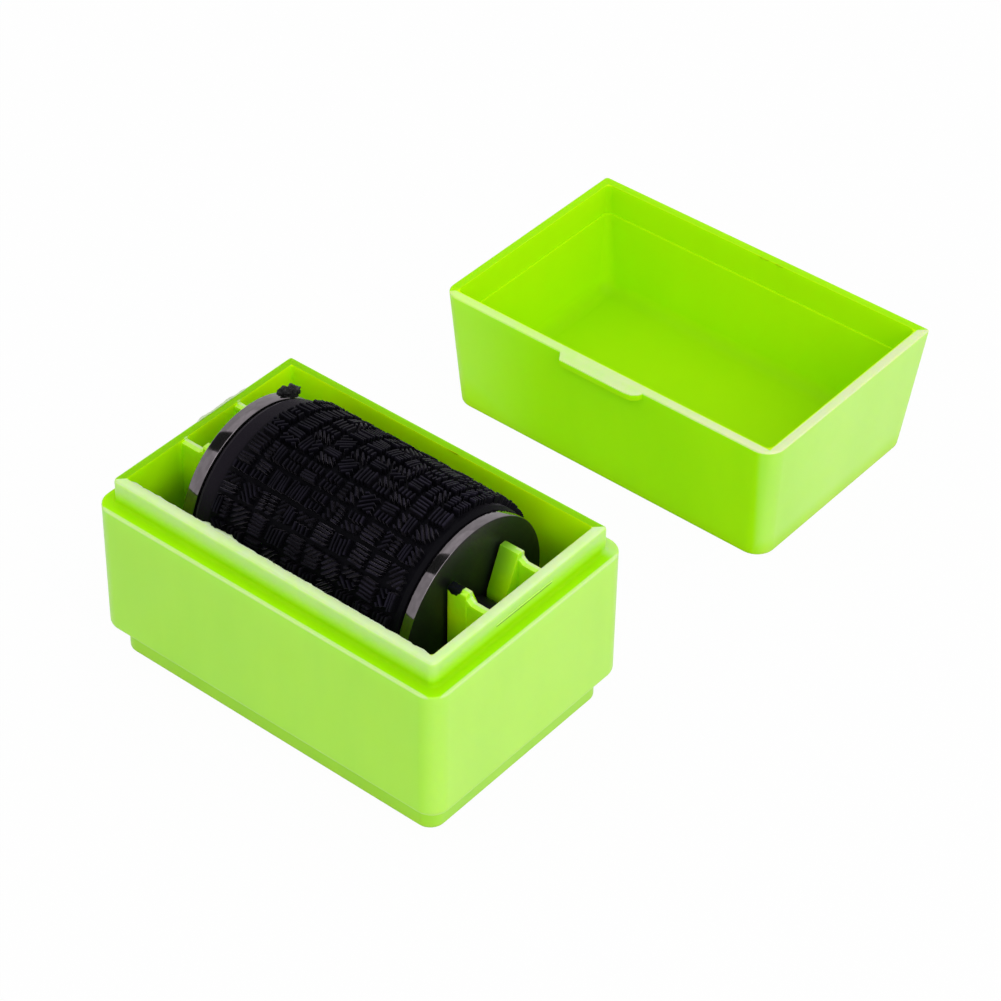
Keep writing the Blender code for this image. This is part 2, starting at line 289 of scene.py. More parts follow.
class Nodes:
    """The node tree of a new material or world, with short calls to add and link its nodes."""

    def __init__(self, name, owners="materials"):
        self.owner = getattr(bpy.data, owners).new(name)
        self.owner.use_nodes = True
        self.tree = self.owner.node_tree
        self.object_space = self.add("ShaderNodeTexCoord").outputs["Object"]

    def add(self, kind, sockets=None, **settings):
        node = self.tree.nodes.new(kind)
        for key, value in settings.items():
            setattr(node, key, value)
        self.feed(node, sockets or {})
        return node

    def feed(self, node, sockets):
        """Gives sockets, by their name or number, a value or the output of another node."""
        for key, value in sockets.items():
            if hasattr(value, "is_linked"):
                self.tree.links.new(value, node.inputs[key])
            else:
                node.inputs[key].default_value = value

    def finish(self, sockets, shader="Principled BSDF"):
        """Feeds the shader, and returns the material or world."""
        self.feed(self.tree.nodes[shader], sockets)
        return self.owner

    def maths(self, operation, *values):
        return self.add("ShaderNodeMath", dict(enumerate(values)), operation=operation).outputs["Value"]

    def minus(self, one, two):
        return self.maths("SUBTRACT", one, two)

    def all_of(self, first, *others):
        for other in others:
            first = self.maths("MULTIPLY", first, other)
        return first

    def any_of(self, first, *others):
        for other in others:
            first = self.maths("MAXIMUM", first, other)
        return first

    def axes(self):
        """The object's own x, y and z."""
        return self.add("ShaderNodeSeparateXYZ", {"Vector": self.object_space}).outputs[:]

    def distance(self, point, raggedness):
        """How far a place is from the point, with a ragged edge."""
        plain = self.add("ShaderNodeVectorMath", {0: self.object_space, 1: point}, operation="DISTANCE")
        ragged = self.maths("MULTIPLY_ADD", self.grain(RAGGED_MM, 3.0), 2.0 * raggedness, -raggedness)
        return self.maths("ADD", plain.outputs["Value"], ragged)

    def grain(self, size, detail=2.0, stretch=(1.0, 1.0, 1.0)):
        """Noise with grains of about that size in millimetres, longer where stretch is small."""
        mapping = self.add("ShaderNodeMapping", {"Vector": self.object_space, "Scale": stretch})
        sockets = {"Vector": mapping.outputs["Vector"], "Scale": 1.0 / (size * MM), "Detail": detail}
        return self.add("ShaderNodeTexNoise", sockets).outputs["Fac"]

    def ramp(self, value, low, high, low_out=0.0, high_out=1.0):
        """A smooth step from low_out to high_out while value goes from low to high."""
        ends = {"Value": value, "From Min": low, "From Max": high, "To Min": low_out, "To Max": high_out}
        return self.add("ShaderNodeMapRange", ends, interpolation_type="SMOOTHSTEP").outputs["Result"]

    def step(self, value, place, start, end, low_out=0.0, high_out=1.0):
        """A ramp from start to end millimetres past the place."""
        return self.ramp(value, place + start * MM, place + end * MM, low_out, high_out)

    def fall(self, value, place, start, end, top=1.0):
        """A step down to 0."""
        return self.step(value, place, start, end, top, 0.0)

    def blend(self, share, one, two):
        """A colour between two colours."""
        mix = self.add("ShaderNodeMix", {"Factor": share, "A": one, "B": two}, data_type="RGBA")
        return mix.outputs["Result"]

    def bump(self, height, rise):
        """Relief that rises by that many millimetres."""
        return self.add("ShaderNodeBump", {"Height": height, "Distance": rise * MM}).outputs["Normal"]


LIME = (0.405, 0.82, 0.0015, 1.0)
LIME_DEEP = (0.38, 0.795, 0.001, 1.0)
# The colours from here to the bead shadow's are painted light and shade, not the plastic's own.
LIME_HIGHLIGHT = (0.57, 0.70, 0.39, 1.0)
LIME_LIT = (0.56, 0.99, 0.001, 1.0)
CAP_LIT = (0.53, 0.79, 0.001, 1.0)
LIME_REFLECTION = (0.80, 0.97, 0.35, 1.0)
LIME_SHADE = (0.22, 0.56, 0.001, 1.0)
RIM_SHADE = (0.21, 0.50, 0.001, 1.0)
CAP_HIGHLIGHT = (0.59, 0.66, 0.36, 1.0)
POST_SHADE = (0.09, 0.30, 0.001, 1.0)
BEAD_SHADOW_GREEN = (0.12, 0.34, 0.001, 1.0)
INK = (0.004, 0.005, 0.006, 1.0)
INK_PLACE = (22.0 * MM, -5.6 * MM, 32.1 * MM)
INK_RADIUS = 1.3 * MM
INK_RAGGED = 0.5 * MM
RAGGED_MM = 0.7
OUTSIDE_GLOSS = 0.9
INSIDE_GLOSS = 0.04 * OUTSIDE_GLOSS
DULL_BLUR = 0.2
WAVES_MM = 0.015
GLOW_SHARE = 0.6
GLOW_DEPTH = 2.2 * MM
GLOW_COLOUR = (0.7, 1.0, 0.05)
BLUR_MM = 0.1
# How far under the bead its painted shadow lies.
SHADOW_BELOW_BEAD = 0.08 * MM
RIM_TOP_SHARE = 0.84
CAP_CLEARANCE = 0.4 * MM
CAP_WALL = LEDGE - CAP_CLEARANCE
CAP_ROOF = 1.6 * MM
CAP_DRAFT = 1.3 * MM
BEAD_HALF = 5.9 * MM
BEAD_MIDDLE = 0.35 * MM
BEAD_BELOW_RIM = 1.65 * MM
BEAD_SIZE = 0.16 * MM


def beyond_walls(nodes, x, y, inset, centre_y):
    """How far a place is beyond the near or right wall, and how far beyond the far or left wall.

    The walls are those of a box that is inset from the case's outline."""
    across = nodes.minus(y, centre_y)
    near = nodes.minus(inset - HALF_Y, across)
    right = nodes.minus(x, HALF_X - inset)
    far = nodes.minus(across, HALF_Y - inset)
    left = nodes.minus(inset - HALF_X, x)
    return nodes.any_of(near, right), nodes.any_of(far, left)


def on_side(nodes, beyond, other):
    """1 beyond the walls of one pair and nearer to them than to the other pair, mitred at corners."""
    ahead = nodes.minus(beyond, other)
    return nodes.all_of(*(nodes.step(value, 0.0, -BLUR_MM, BLUR_MM) for value in (ahead, beyond)))


def between(nodes, beyond, other, z, floor_z):
    """1 in the space within all four walls and above the floor."""
    return nodes.all_of(
        nodes.fall(nodes.any_of(beyond, other), 0.0, 0.0, 0.3), nodes.step(z, floor_z, -0.5, -0.2),
    )


def highlight_patches(nodes, size):
    """How strong a rim's painted highlight is, uneven in patches."""
    return nodes.ramp(nodes.grain(size, 3.0), 0.3, 0.6, 0.75, 1.0)


def lime_plastic(name, zones):
    """The plastic of case and cap. zones tells where it is dull, and which tints lie where."""
    nodes = Nodes(name)
    dull, tints = zones(nodes, *nodes.axes())
    streaks = nodes.grain(9.0, 3.0, (1.0, 1.0, 0.3))
    colour = nodes.blend(nodes.ramp(streaks, 0.35, 0.65), LIME_DEEP, LIME)
    for share, tint in tints:
        colour = nodes.blend(share, colour, tint)
    blur = nodes.ramp(nodes.grain(6.0, 3.0), 0.3, 0.7, 0.29, 0.35)
    return nodes.finish({
        "Base Color": colour,
        "Specular IOR Level": nodes.ramp(dull, 0.0, 1.0, OUTSIDE_GLOSS, INSIDE_GLOSS),
        "Roughness": nodes.maths("MULTIPLY_ADD", dull, DULL_BLUR, blur),
        "Normal": nodes.bump(nodes.grain(7.0, 1.0), WAVES_MM),
        "Subsurface Weight": GLOW_SHARE,
        "Subsurface Radius": GLOW_COLOUR,
        "Subsurface Scale": GLOW_DEPTH,
    })


def case_zones(nodes, x, y, z):
    """Painted light and shade by place, a painted shadow under the bead, a dull well and an ink blot."""
    step, fall, all_of, any_of, minus = nodes.step, nodes.fall, nodes.all_of, nodes.any_of, nodes.minus
    near_right, far_left = beyond_walls(nodes, x, y, well_inset, 0.0)
    well = between(nodes, near_right, far_left, z, WELL_FLOOR_Z)
    # The far and left rim top: no gloss, and painted shade.
    back_rim = all_of(on_side(nodes, far_left, near_right), step(z, RIM_Z, -0.08, -0.03))
    ledge = all_of(minus(1.0, well), step(z, SHOULDER_Z, -0.15, -0.05), fall(z, SHOULDER_Z, 0.3, 1.6))
    # Painted highlight along the shoulder's near and right edge.
    near_edge = step(near_right, well_inset, -0.5, -0.3, 0.0, 0.6)
    shoulder_highlight = all_of(near_edge, step(z, SHOULDER_Z, -0.5, -0.3))
    # Painted shade on the ledge, a little stronger towards the right.
    shaded_ledge = all_of(ledge, nodes.ramp(x, -HALF_X, HALF_X, 0.36, 0.5))
    # Painted reflection of the white surroundings on the right wall, below the shoulder.
    right_face_reflection = all_of(step(x, HALF_X, -2.8, -0.4, 0.0, 0.17), fall(z, SHOULDER_Z, -0.4, -0.2))
    # Painted highlight on the ledge towards its far side.
    far_ledge_highlight = all_of(ledge, step(y, HALF_Y, -3.8, -2.0, 0.0, 0.4))
    # Painted highlight on the near and right rim and down the collar's top, uneven in patches.
    rim_top = all_of(step(z, RIM_Z, -0.35, -0.15), RIM_TOP_SHARE)
    front_rim = any_of(step(z, RIM_Z, -3.3, -0.3, 0.0, 0.42), rim_top)
    rim_highlight = all_of(on_side(nodes, near_right, far_left), front_rim, highlight_patches(nodes, 2.5))
    along, across = nodes.maths("ABSOLUTE", x), nodes.maths("ABSOLUTE", y)
    cradle_zone = all_of(
        well,
        step(along, yoke_x, -0.4, -0.2),
        fall(along, end_wall_x, -0.3, -0.1),
        fall(across, YOKE_HALF, 0.05, 0.15),
    )
    # Painted shade on the right far post, darkest next to the roller.
    far_post_shade = all_of(
        cradle_zone, step(y, 0.0, 0.0, 1.0), step(x, 0.0, 0.0, 1.0), fall(x, yoke_x, 0.0, 4.2, 0.85),
    )
    # Painted highlight along the far top edge of each web.
    web_edges = any_of(*(
        all_of(step(y, edge, -0.6, -0.4), fall(y, edge, 0.0, 0.1))
        for edge in (WEB_THICK - web_outside, web_outside)
    ))
    web_tops = all_of(step(along, left_back_x, -0.2, 0.0), step(z, web_top_z, -0.25, -0.05, 0.0, 0.6))
    web_highlights = all_of(well, web_edges, web_tops)
    posts = all_of(cradle_zone, step(z, RIM_Z, -4.0, -0.5, 0.1, 0.85))
    left_wall = all_of(fall(x, -end_wall_x, 0.0, 1.0, 0.7), fall(y, -YOKE_HALF, -1.0, 0.0))
    # Painted shade in the deep bays beside the flanges, fading upwards.
    shaded_bays = all_of(well, step(along, yoke_x, -6.0, 0.0, 0.0, 0.8), fall(z, AXIS_Z, -2.0, 4.5))
    # Painted light in the well, kept mostly off the posts and weaker on the left wall in front of the
    # near web.
    lit_well = minus(well, posts)
    painted_well_light = minus(lit_well, all_of(lit_well, left_wall))
    # A painted shadow in a thin strip just under the right bead.
    shadow_z = RIM_Z - BEAD_BELOW_RIM - BEAD_SIZE - SHADOW_BELOW_BEAD
    from_shadow = nodes.maths("ABSOLUTE", minus(z, shadow_z))
    from_middle = nodes.maths("ABSOLUTE", minus(y, BEAD_MIDDLE))
    bead_shadow = all_of(
        fall(from_shadow, 0.0, 0.12, 0.22),
        fall(from_middle, BEAD_HALF, -0.3, 0.0),
        step(x, HALF_X - LEDGE, -0.3, -0.2),
    )
    blot = fall(nodes.distance(INK_PLACE, INK_RAGGED), INK_RADIUS, -BLUR_MM, BLUR_MM)
    foot = all_of(fall(z, FOOT_HEIGHT, 0.0, 0.8, 0.4), step(x, HALF_X, -4.0, -2.5, 1.0, 0.3))
    dull = any_of(lit_well, back_rim, ledge, foot, blot)
    # All tints here but the ink blot are painted light and shade.
    return dull, (
        (right_face_reflection, LIME_REFLECTION), (shaded_ledge, LIME_SHADE), (far_ledge_highlight, LIME_HIGHLIGHT),
        (shoulder_highlight, LIME_HIGHLIGHT), (painted_well_light, LIME_LIT), (shaded_bays, LIME_SHADE),
        (far_post_shade, POST_SHADE), (back_rim, RIM_SHADE), (rim_highlight, LIME_HIGHLIGHT),
        (web_highlights, LIME_HIGHLIGHT), (bead_shadow, BEAD_SHADOW_GREEN), (blot, INK),
    )


def cap_zones(nodes, x, y, z):
    """A dull hollow, painted rim highlights in front, the case's green reflection painted on the near
    wall.
    """
    step, fall, all_of, any_of = nodes.step, nodes.fall, nodes.all_of, nodes.any_of
    lean = nodes.maths("MULTIPLY_ADD", z, -CAP_DRAFT / CAP_TOP, CAP_DRAFT)
    inner_lean = any_of(nodes.maths("MULTIPLY_ADD", lean, 1.2, -0.4 * MM), 0.0)
    near_right, far_left = (
        nodes.maths("ADD", beyond, inner_lean) for beyond in beyond_walls(nodes, x, y, CAP_WALL, CAP_Y)
    )
    hollow = between(nodes, near_right, far_left, z, CAP_ROOF)
    rim_top = step(z, CAP_TOP, -0.28, -0.13)
    # The far and left rim top: no gloss, and painted shade.
    back_rim = all_of(on_side(nodes, far_left, near_right), rim_top)
    # Painted highlight on the near and right rim top, uneven in patches, stronger towards the right.
    rim_highlight = all_of(
        on_side(nodes, near_right, far_left),
        step(near_right, 0.0, 0.1, 0.3),
        rim_top,
        highlight_patches(nodes, 2.0),
        nodes.ramp(x, -HALF_X, HALF_X, 0.45, 1.0),
    )
    near_y = CAP_Y - HALF_Y
    upright_x = nodes.maths("ADD", x, lean)
    near_face = fall(nodes.minus(y, lean), near_y, 1.5, 2.4)
    # Painted light on the left part of the near wall.
    near_left_light = all_of(near_face, nodes.ramp(x, -HALF_X, -0.2 * HALF_X, 0.5, 0.0))
    # The near wall loses its gloss and is painted a little darker: a painted reflection of the case.
    painted_case_reflection = all_of(
        near_face,
        any_of(nodes.ramp(x, -HALF_X, -0.2 * HALF_X, 0.45, 1.0), fall(z, 0.0, 0.0, 14.0, 0.8)),
        fall(nodes.maths("MULTIPLY_ADD", lean, 0.4, x), HALF_X, -3.0, -1.5),
        fall(z, CAP_TOP, -0.35, -0.2),
    )
    bottom = fall(z, 0.0, 1.0, 4.0, 0.7)
    # Painted reflection of the white surroundings on the right face, stronger towards the far side.
    right_face_reflection = all_of(step(upright_x, HALF_X, -1.6, -0.4), nodes.ramp(y, near_y, CAP_Y, 0.13, 0.29))
    # Painted shade on the hollow's floor, fading up into its fillet.
    roof_shade = all_of(hollow, fall(z, CAP_ROOF, 0.05, 2.8, 0.5))
    dull = any_of(hollow, back_rim, painted_case_reflection, bottom)
    # All tints here are painted light and shade, and the hollow's tint is painted light.
    return dull, (
        (right_face_reflection, LIME_REFLECTION), (all_of(hollow, 0.5), CAP_LIT), (roof_shade, LIME_SHADE),
        (all_of(painted_case_reflection, 0.08), LIME_SHADE), (near_left_light, LIME_LIT),
        (all_of(back_rim, 0.5), LIME_SHADE), (rim_highlight, CAP_HIGHLIGHT),
    )


case_plastic = lime_plastic("lime_case", case_zones)
cap_plastic = lime_plastic("lime_cap", cap_zones)

# %% [markdown]
# The case is a tray whose outlines go from its foot outwards to the wall, up to the shoulder, in
# over the ledge, up the thin collar that plugs into the cap, over the rim and down the well to
# its floor.

# %% Case walls
FOOT_INSET = 2.0 * MM
FOOT_CORNERS = [2.4] * 4
FOOT_ROUND = 0.35 * MM
WALL_CORNERS = [3.0] * 4
WALL_ROUND = 0.9 * MM
SHOULDER_ROUND = 0.35 * MM
COLLAR_CORNERS = (1.0, 1.0, 0.6, 0.6)
WELL_CORNERS = [0.5] * 4
RIM_ROUND = 0.5 * MM
VALLEY_ROUND = 0.5 * MM

case_sections = (
    (FOOT_INSET, FOOT_CORNERS, 0.0, FOOT_ROUND, 4),
    (FOOT_INSET, FOOT_CORNERS, FOOT_HEIGHT),
    (0.0, WALL_CORNERS, FOOT_HEIGHT, WALL_ROUND, 6),
    (0.0, WALL_CORNERS, SHOULDER_Z, SHOULDER_ROUND, 4),
    (LEDGE, COLLAR_CORNERS, SHOULDER_Z, VALLEY_ROUND, 3),
    (LEDGE, COLLAR_CORNERS, RIM_Z, RIM_ROUND, 3),
    (well_inset, WELL_CORNERS, RIM_Z),
    (well_inset, WELL_CORNERS, WELL_FLOOR_Z),
)
case = to_piece("case_moulding", tray(case_sections), case_plastic, "case")
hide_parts("case_body")

# %% [markdown]
# At each end of the well stands a yoke: a plate with an open mouth that narrows to a neck, and
# under the neck the round seat in which the roller's journal turns. Two webs tie the plate back
# to the end wall. The left plate is the thinner one. Each plate is a box, cut across by planes at
# the webs' edges, and the strips between those cuts are extruded to the wall. Mouth and seat are
# cut out of it by a helper each, and the whole cradle is united with the case, as one moulding.

# %% Cradles
POST_TOP = 1.3 * MM
POST_ROUND = 0.35 * MM
JOURNAL_RADIUS = 2.4 * MM
SEAT_CLEARANCE = 0.1 * MM
NECK_BITE = 0.25 * MM
NECK_RISE = 2.5 * MM
STEP_LENGTH = 0.9 * MM
SEAT_SEGMENTS = 48

post_top_z = case_high.z
neck_half = JOURNAL_RADIUS - NECK_BITE
neck_z = AXIS_Z + NECK_RISE
mouth_half = YOKE_HALF - POST_TOP


def turn_to_side(bm, side):
    """Mirrors the shape to the left end where side is -1."""
    bmesh.ops.scale(bm, vec=(side, 1.0, 1.0), verts=bm.verts[:])
    bmesh.ops.recalc_face_normals(bm, faces=bm.faces[:])
    return bm


def cut_across(bm, faces, place, direction):
    """Cuts the given faces along a plane, and leaves the rest of the shape as it is."""
    parts = set(faces)
    for face in faces:
        parts.update(face.edges)
        parts.update(face.verts)
    bmesh.ops.bisect_plane(bm, geom=list(parts), plane_co=place, plane_no=direction)


def cradle(side, back_x):
    bm = bmesh.new()
    block(bm, (yoke_x, -YOKE_HALF, WELL_FLOOR_Z - OVERRUN), (back_x, YOKE_HALF, post_top_z))
    top_edges = [edge for edge in bm.edges if all(vert.co.z > web_top_z for vert in edge.verts)]
    crosswise = [edge for edge in top_edges if abs(edge.verts[0].co.y - edge.verts[1].co.y) < OVERRUN]
    round_off(bm, crosswise, POST_ROUND, 4)
    cut_across(bm, bm.faces[:], (0.0, 0.0, web_top_z), (0.0, 0.0, 1.0))

    def back_faces():
        """The faces of the plate's back, under the top of the webs."""
        middles = [(face, face.calc_center_median()) for face in bm.faces]
        plane_x = back_x - 0.01 * YOKE_THICK
        return [face for face, middle in middles if middle.x > plane_x and middle.z < web_top_z]

    for y in (-web_outside, WEB_THICK - web_outside, web_outside - WEB_THICK, web_outside):
        cut_across(bm, back_faces(), (0.0, y, 0.0), (0.0, 1.0, 0.0))
    strips = [
        face for face in back_faces()
        if web_outside - WEB_THICK < abs(face.calc_center_median().y) < web_outside
    ]
    grow(bm, strips, (end_wall_x + OVERRUN - back_x, 0.0, 0.0))
    bmesh.ops.delete(bm, geom=[face for face in strips if face.is_valid], context="FACES_ONLY")
    return turn_to_side(bm, side)


def mouth(side):
    """The open mouth above the neck: a box whose upper end is drawn wide."""
    bm = bmesh.new()
    low = (yoke_x - OVERRUN, -neck_half, AXIS_Z)
    block(bm, low, (yoke_back_x + OVERRUN, neck_half, post_top_z + OVERRUN))
    cut_across(bm, bm.faces[:], (0.0, 0.0, neck_z), (0.0, 0.0, 1.0))
    widest = mouth_half + (mouth_half - neck_half) * OVERRUN / (post_top_z - neck_z)
    top = [vert for vert in bm.verts if vert.co.z > post_top_z]
    bmesh.ops.scale(bm, vec=(1.0, widest / neck_half, 1.0), verts=top)
    return turn_to_side(bm, side)


def seat(side):
    """The round seat, a cylinder along the roller's axis."""
    bm = bmesh.new()
    middle = Matrix.Translation(((yoke_x + yoke_back_x) / 2, 0.0, AXIS_Z))
    radius = JOURNAL_RADIUS + SEAT_CLEARANCE
    bmesh.ops.create_cone(
        bm, cap_ends=True, segments=SEAT_SEGMENTS, radius1=radius, radius2=radius,
        depth=YOKE_THICK + 2 * OVERRUN, matrix=middle @ Matrix.Rotation(math.pi / 2, 4, "Y"),
    )
    return turn_to_side(bm, side)


def web_steps(side, back_x):
    """The wedges behind the posts, where these come down to the webs."""
    bm = bmesh.new()
    for inner_y in (-web_outside, web_outside - WEB_THICK):
        wedge = block(
            bm, (back_x - OVERRUN, inner_y, web_top_z - OVERRUN),
            (back_x + STEP_LENGTH, inner_y + WEB_THICK, post_top_z - POST_ROUND),
        )
        for vert in wedge:
            if vert.co.x > back_x:
                vert.co.z = min(vert.co.z, web_top_z - 0.1 * OVERRUN)
    return turn_to_side(bm, side)


for label, side, back_x in (("left", -1, left_back_x), ("right", 1, yoke_back_x)):
    yoke = to_object(f"{label}_cradle", cradle(side, back_x))
    combine(yoke, to_object(f"{label}_steps", web_steps(side, back_x)), "UNION")
    combine(yoke, to_object(f"{label}_mouth", mouth(side)), "DIFFERENCE")
    combine(yoke, to_object(f"{label}_seat", seat(side)), "DIFFERENCE")
    combine(case, yoke, "UNION")

# %% [markdown]
# A low ridge on each short side of the collar clicks into the cap. It is a bar sunk in the wall,
# its outer face narrowed to a blunt edge.

# %% Snap beads
BEAD_BLUNT = 0.3


def bead(side):
    bm = bmesh.new()
    face_x = HALF_X - LEDGE
    middle_z = RIM_Z - BEAD_BELOW_RIM
    low = (face_x - OVERRUN, BEAD_MIDDLE - BEAD_HALF, middle_z - BEAD_SIZE)
    block(bm, low, (face_x + BEAD_SIZE, BEAD_MIDDLE + BEAD_HALF, middle_z + BEAD_SIZE))
    outer = [vert for vert in bm.verts if vert.co.x > face_x]
    to_middle = Matrix.Translation((0.0, 0.0, -middle_z))
    bmesh.ops.scale(bm, vec=(1.0, 1.0, BEAD_BLUNT), space=to_middle, verts=outer)
    return turn_to_side(bm, side)


for label, side in (("left", -1), ("right", 1)):
    combine(case, to_object(f"{label}_bead", bead(side)), "UNION")
soften(case)

# %% [markdown]
# The cap is the plainer tray of the two. Its walls lean outwards to the rim, so that it leaves
# its mould. Inside, a step shows how far the case's collar reaches in.

# %% Cap
CAP_CORNERS = [3.2] * 4
CAP_RIM_CORNERS = (2.5, 3.2, 0.5, 0.7)
CAP_WALL_LEVELS = 6
CAP_EDGE = 0.3 * MM
CAP_RIM_ROUND = 0.3 * MM
CAP_INNER_CORNERS = [1.0] * 4
CAP_ROOF_CORNERS = [2.6] * 4
CAP_INNER_DRAFT = 0.7 * MM
CAP_INNER_EDGE = 2.3 * MM
REBATE_SPARE = 1.2 * MM
REBATE_STEP = 0.28 * MM

step_inset = CAP_WALL + REBATE_STEP
step_z = CAP_TOP - COLLAR_RISE - REBATE_SPARE
outer_wall = []
for level in range(1, CAP_WALL_LEVELS):
    share = level / CAP_WALL_LEVELS
    corners = [low + share * (high - low) for low, high in zip(CAP_CORNERS, CAP_RIM_CORNERS)]
    outer_wall.append((CAP_DRAFT * (1 - share), corners, CAP_TOP * share))
cap_sections = (
    (CAP_DRAFT, CAP_CORNERS, 0.0, CAP_EDGE, 5),
    *outer_wall,
    (0.0, CAP_RIM_CORNERS, CAP_TOP, CAP_RIM_ROUND, 3),
    (CAP_WALL, CAP_INNER_CORNERS, CAP_TOP),
    (CAP_WALL, CAP_INNER_CORNERS, step_z),
    (step_inset, CAP_INNER_CORNERS, step_z),
    (step_inset + CAP_INNER_DRAFT, CAP_ROOF_CORNERS, CAP_ROOF, CAP_INNER_EDGE, 5),
)
cap = to_piece("cap_moulding", tray(cap_sections, CAP_Y), cap_plastic, "cap")
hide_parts("cap")

# %% [markdown]
# The thumb tab grows from the long side that faces the case, just under the rim. Its outline is
# cut aslant at one end and rounded at the other. It is extruded to its thickness, sunk a little
# way into the wall and united with the cap.

# %% Thumb tab
TAB_THICK = 1.1 * MM
TAB_BELOW_RIM = 0.04 * MM
TAB_CORNERS = (
    (-8.0, 2.2), (-8.0, 1.6), (-6.9, 0.0), (5.2, 0.0), (6.4, 0.25), (7.2, 0.95), (7.5, 1.6), (7.5, 2.2),
)

tab_mesh = bmesh.new()
tab_z = CAP_TOP - TAB_BELOW_RIM - TAB_THICK
tab_verts = [tab_mesh.verts.new((x * MM, cap_low.y + y * MM, tab_z)) for x, y in TAB_CORNERS]
grow(tab_mesh, [tab_mesh.faces.new(tab_verts)], (0.0, 0.0, TAB_THICK))
combine(cap, to_object("thumb_tab", tab_mesh), "UNION")
soften(cap)

# %% [markdown]
# The two flanges are turned shapes. A lathe in Blender is a spin: a few points give half of the
# section, from the journal's tip out to the rim and back in to the hollow plug, and the spin
# carries that line once round the axis. The rim's two edges get a fine bevel, because their
# bright lines separate the glossy band from the dark face.

# %% Flanges
SPIN_STEPS = 128
FLANGE_EDGE = 0.18 * MM
JOURNAL_TIP = 0.3 * MM
RING_GAP = 0.25 * MM
PAD_WALL = 2.35 * MM
TUBE_WALL = 2.0 * MM
PLUG_WALL = 1.7 * MM
LEFT_THICK = 2.0 * MM
RIGHT_THICK = 1.7 * MM
LEFT_SHY = 0.4 * MM
PLUG_LENGTH = 4.5 * MM
DISC_SHARP = math.radians(30)
FLANGE_BLACK = (0.004, 0.0045, 0.004, 1.0)
FLANGE_GLOSS_TINT = (1.0, 0.88, 0.96, 1.0)
FACE_BLUR = 0.26
FACE_GLOSS = 0.16

flange_radius = left_high.z - AXIS_Z
felt_radius = felt_high.z - AXIS_Z
plug_radius = felt_radius - PAD_WALL - RING_GAP - TUBE_WALL - RING_GAP


def off_circle(place, x, radius):
    """How far a place is from that circle about the roller's axis."""
    return abs(math.hypot(place.y, place.z - AXIS_Z) - radius) + abs(place.x - x)


def spin_profile(points, round_at=()):
    """Turns the (x, radius) points about the roller's axis into a closed surface."""
    bm = bmesh.new()
    line = [bm.verts.new((x, 0.0, AXIS_Z + radius)) for x, radius in points]
    edges = [bm.edges.new(pair) for pair in zip(line, line[1:])]
    bmesh.ops.spin(
        bm, geom=line + edges, cent=(0.0, 0.0, AXIS_Z), axis=(1.0, 0.0, 0.0),
        angle=2 * math.pi, steps=SPIN_STEPS, use_merge=True,
    )
    bmesh.ops.remove_doubles(bm, verts=bm.verts[:], dist=0.001 * MM)
    bmesh.ops.recalc_face_normals(bm, faces=bm.faces[:])
    for x, radius in round_at:
        rim = [
            edge for edge in bm.edges
            if all(off_circle(vert.co, x, radius) < 0.01 * MM for vert in edge.verts)
        ]
        round_off(bm, rim, FLANGE_EDGE, 3)
    return bm


def flange(side, outside, thickness, journal_x):
    inside = outside - side * thickness
    plug_end = inside - side * PLUG_LENGTH
    points = (
        (journal_x, 0.0),
        (journal_x, JOURNAL_RADIUS - JOURNAL_TIP),
        (journal_x - side * JOURNAL_TIP, JOURNAL_RADIUS),
        (outside, JOURNAL_RADIUS),
        (outside, flange_radius),
        (inside, flange_radius),
        (inside, plug_radius),
        (plug_end, plug_radius),
        (plug_end, plug_radius - PLUG_WALL),
        (inside, plug_radius - PLUG_WALL),
        (inside, 0.0),
    )
    return spin_profile(points, ((outside, flange_radius), (inside, flange_radius)))


def polished_black():
    """Hard black plastic: a streaked mirror gloss on the rim, a duller face."""
    nodes = Nodes("polished_black")
    x = nodes.axes()[0]
    left_face = nodes.fall(x, LEFT_SHY - ROLLER_HALF, 0.02, 0.06)
    face = nodes.any_of(nodes.step(x, ROLLER_HALF, -0.06, -0.02), left_face)
    streaks = nodes.ramp(nodes.grain(1.5, 5.0), 0.3, 0.7, 0.06, 0.14)
    wear_and_highlight = nodes.ramp(nodes.grain(0.6, 6.0, (1.0, 0.4, 0.4)), 0.35, 0.65, 0.8, 1.0)
    band_gloss = nodes.all_of(wear_and_highlight, nodes.minus(1.0, face))
    return nodes.finish({
        "Base Color": FLANGE_BLACK,
        "Roughness": nodes.maths("MULTIPLY_ADD", face, FACE_BLUR, streaks),
        "Normal": nodes.bump(nodes.grain(3.0, 2.0), 0.006),
        "Specular IOR Level": nodes.any_of(band_gloss, FACE_GLOSS),
        "Specular Tint": FLANGE_GLOSS_TINT,
        "IOR": 1.8,
    })


black = polished_black()
left_disc = flange(-1, LEFT_SHY - ROLLER_HALF, LEFT_THICK, left_low.x)
left_flange = to_piece("left_flange_disc", left_disc, black, "roller", DISC_SHARP)
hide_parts("flange_left")
right_disc = flange(1, ROLLER_HALF, RIGHT_THICK, right_high.x)
right_flange = to_piece("right_flange_disc", right_disc, black, "roller", DISC_SHARP)
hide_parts("flange_right")

# %% [markdown]
# Inside the roller, out of sight, sit the plain tube and the felt ring that holds the ink. The
# tube's CAD shape is right as it is and only gets its plastic. The felt gets a body of its own,
# with a fuzzy surface.

# %% Felt and tube
FELT_DARK = (0.004, 0.004, 0.007, 1.0)
FELT_LIGHT = (0.02, 0.018, 0.03, 1.0)
TUBE_DARK = (0.010, 0.010, 0.011, 1.0)
TUBE_LIGHT = (0.022, 0.022, 0.024, 1.0)

felt_bore = felt_radius - PAD_WALL
felt_points = (
    (felt_low.x, felt_bore), (felt_high.x, felt_bore), (felt_high.x, felt_radius),
    (felt_low.x, felt_radius), (felt_low.x, felt_bore),
)


